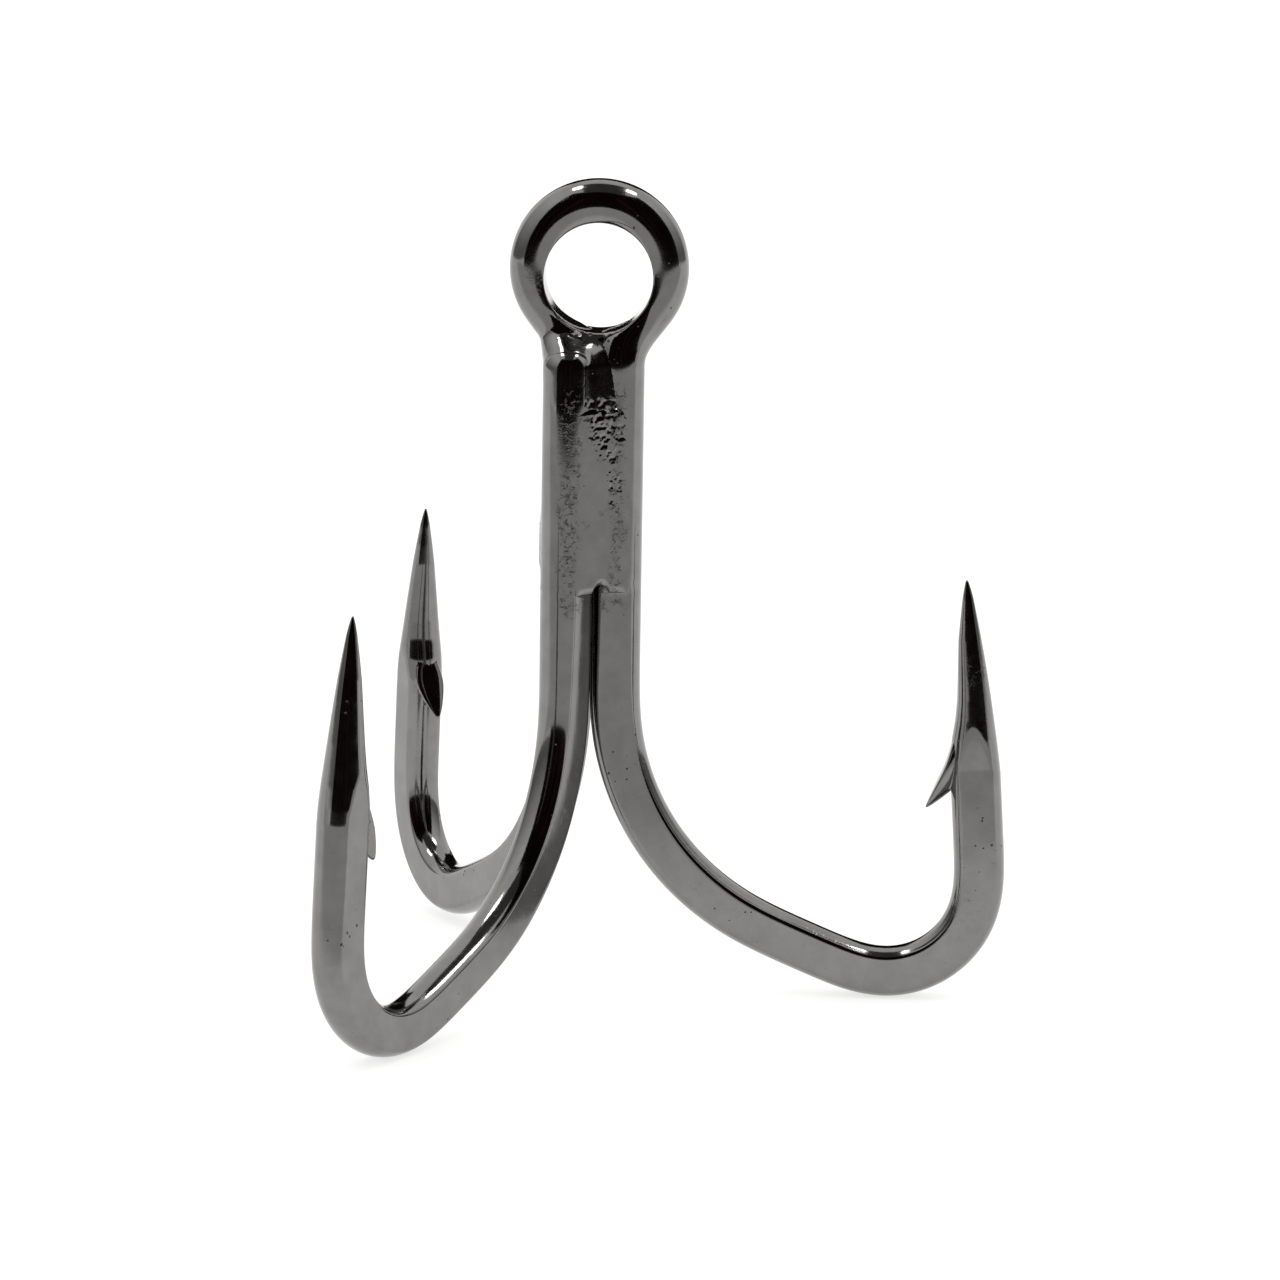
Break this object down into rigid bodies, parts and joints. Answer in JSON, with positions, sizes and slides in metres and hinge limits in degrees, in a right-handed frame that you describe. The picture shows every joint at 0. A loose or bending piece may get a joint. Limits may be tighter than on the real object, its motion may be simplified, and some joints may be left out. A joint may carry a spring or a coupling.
{
  "type": "treble hook",
  "caption": "Heavy-wire treble hook with a round eye, brazed shanks, short points and a barb on each hook.",
  "frame": {"origin": "centre of the eye's bore", "axes": "+Z along the shank towards the eye, +X towards the first hook of the double, Y along the eye's bore"},
  "size_m": [0.0417, 0.0466, 0.0517],
  "materials": {
    "wire_plating": "black-nickel plated steel wire, mirror bright on the round wire and satin on the pressed flats",
    "braze_plating": "brazing metal plated over, bright at the eye and pitted along the seams"
  },
  "bodies": {
    "root": {"double_hook_wire": "wire_plating", "single_hook_wire": "wire_plating", "braze_seam_front": "braze_plating", "braze_seam_left": "braze_plating", "braze_seam_rear": "braze_plating", "braze_core": "braze_plating", "braze_eye_saddle": "braze_plating"}
  },
  "joints": []
}
